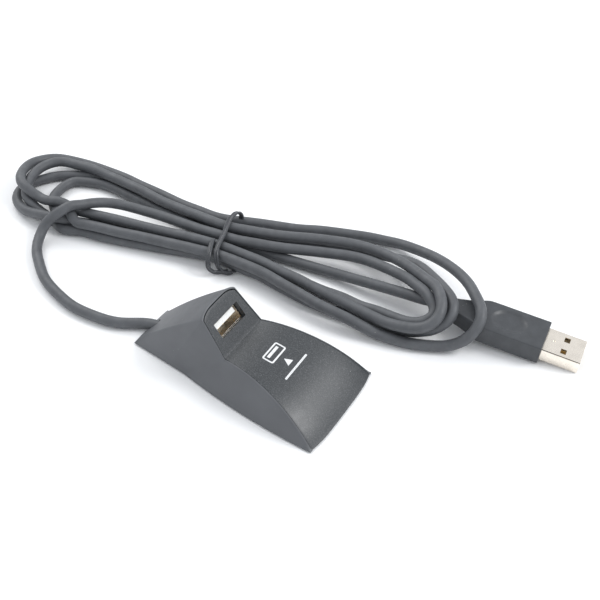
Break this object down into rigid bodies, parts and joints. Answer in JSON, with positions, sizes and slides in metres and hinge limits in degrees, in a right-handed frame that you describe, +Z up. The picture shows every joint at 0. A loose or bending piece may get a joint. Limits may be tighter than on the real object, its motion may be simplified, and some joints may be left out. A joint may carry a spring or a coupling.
{
  "type": "usb extension dock",
  "caption": "Small weighted desk dock with a tilted USB-A socket on an arched ramp, its long lead folded into a tied hank and ended in a USB-A plug.",
  "frame": {"origin": "on the table, under the middle of the dock's footprint, free lead not counted", "axes": "+Z up, -Y is the front where the ramp meets the table and the socket faces, +Y is the rear where the lead leaves, +X to the right seen from the front"},
  "size_m": [0.1061, 0.2356, 0.0275],
  "materials": {
    "housing_plastic": "fine satin moulded plastic",
    "cover_plastic": "satin plastic with a fine metallic speckle",
    "base_plastic": "matt",
    "foot_rubber": "matt",
    "zinc_steel": "zinc plated",
    "nickel": "bright nickel plating",
    "contact_gold": "gold flashed",
    "socket_plastic": "white moulded insulator",
    "plug_plastic": "natural moulded insulator",
    "board_green": "solder mask",
    "lead_rubber": "satin soft pvc jacket",
    "overmould_rubber": "matt soft pvc",
    "tie_vinyl": "vinyl over a steel wire",
    "wire_red": "insulation",
    "wire_white": "insulation",
    "wire_green": "insulation",
    "wire_black": "insulation"
  },
  "bodies": {
    "root": {"ballast_weight": "zinc_steel", "base_plate": "base_plastic", "base_screw_front_left": "zinc_steel", "base_screw_front_right": "zinc_steel", "base_screw_rear_left": "zinc_steel", "base_screw_rear_right": "zinc_steel", "circuit_board": "board_green", "conductor_data_minus": "wire_white", "conductor_data_plus": "wire_green", "conductor_ground": "wire_black", "conductor_power": "wire_red", "face_cover": "cover_plastic", "foot_front_left": "foot_rubber", "foot_front_right": "foot_rubber", "foot_rear_left": "foot_rubber", "foot_rear_right": "foot_rubber", "lead_dock_side": "lead_rubber", "lead_grommet": "lead_rubber", "lead_hank": "lead_rubber", "outer_housing": "housing_plastic", "plug_contact_data_minus": "contact_gold", "plug_contact_data_plus": "contact_gold", "plug_contact_ground": "contact_gold", "plug_contact_power": "contact_gold", "plug_overmould": "overmould_rubber", "plug_shell": "nickel", "plug_tongue": "plug_plastic", "socket_contact_data_minus": "contact_gold", "socket_contact_data_plus": "contact_gold", "socket_contact_ground": "contact_gold", "socket_contact_power": "contact_gold", "socket_rear_cap": "socket_plastic", "socket_shell": "nickel", "socket_tongue": "socket_plastic", "twist_tie": "tie_vinyl"}
  },
  "joints": []
}
